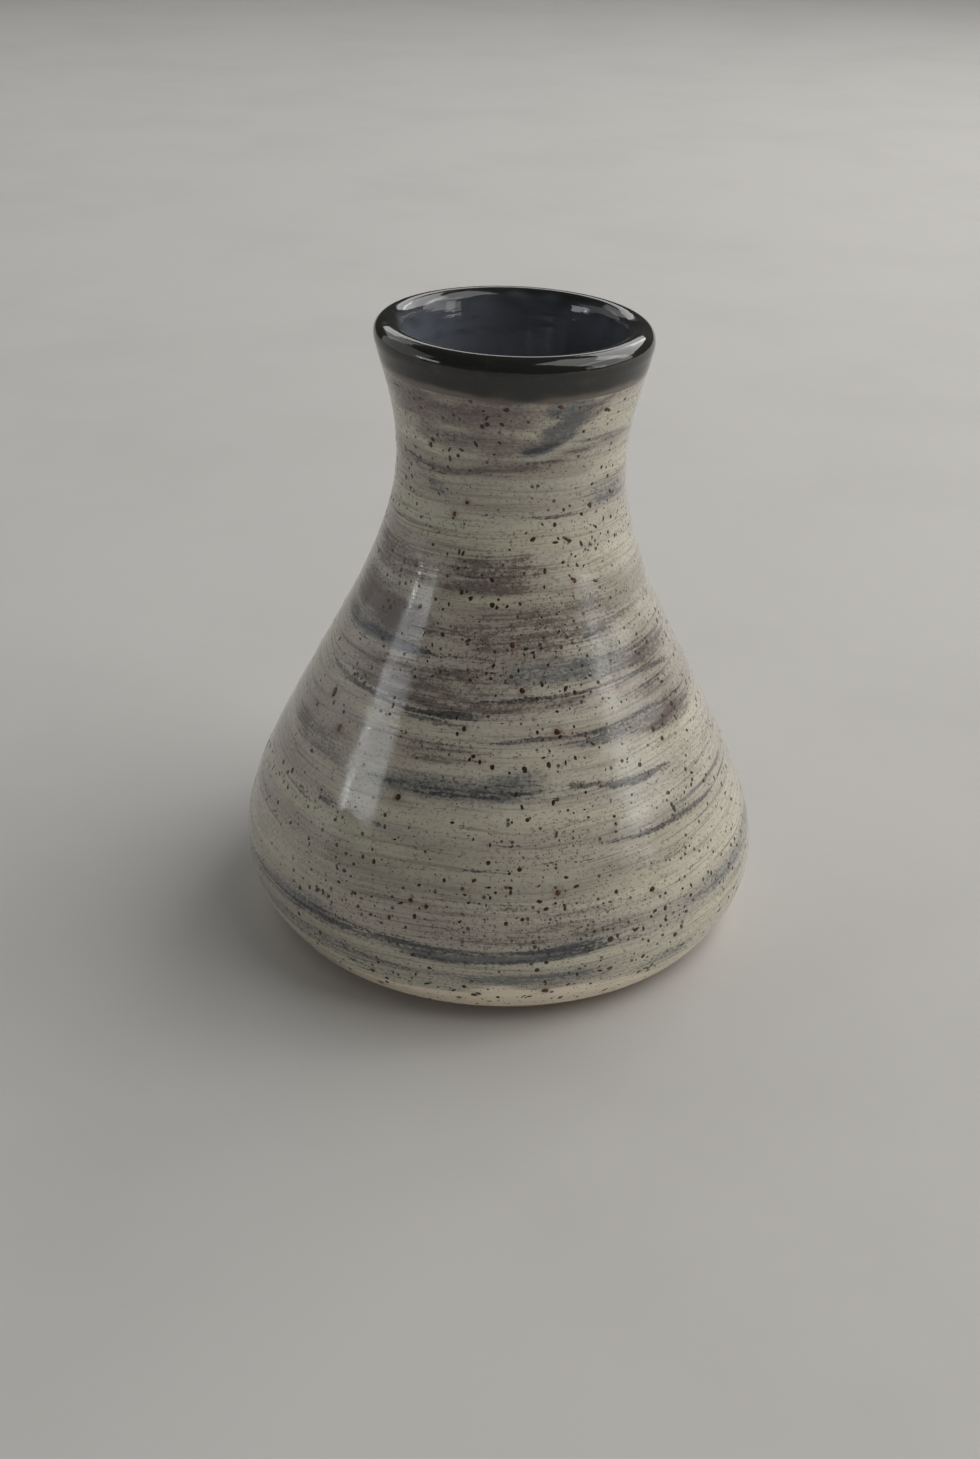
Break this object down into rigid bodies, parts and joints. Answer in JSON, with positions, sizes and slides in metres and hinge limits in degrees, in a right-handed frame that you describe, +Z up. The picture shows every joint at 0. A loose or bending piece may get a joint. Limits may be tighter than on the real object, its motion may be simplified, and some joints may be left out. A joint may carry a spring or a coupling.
{
  "type": "vase",
  "caption": "Wheel-thrown stoneware vase with a low round belly, long waisted neck and rolled lip, in speckled brushed glaze with a dark rim and dark inside",
  "frame": {"origin": "centre of the flat base, on the surface that the vase stands on", "axes": "+Z up along the turning axis, from the foot to the lip; the vase is round, so +X and +Y are any two directions square to it"},
  "size_m": [0.1102, 0.1102, 0.128],
  "materials": {
    "bare_stoneware": "matte, speckled, unglazed",
    "brushed_glaze": "glossy, cream to grey with brushed blue-grey streaks and iron specks",
    "dark_rim_glaze": "glossy, near-black olive brown",
    "dark_liner_glaze": "glossy, dark blue-grey"
  },
  "bodies": {
    "root": {"clay_body": "bare_stoneware", "outer_glaze": "brushed_glaze", "rim_glaze": "dark_rim_glaze", "liner_glaze": "dark_liner_glaze"}
  },
  "joints": []
}
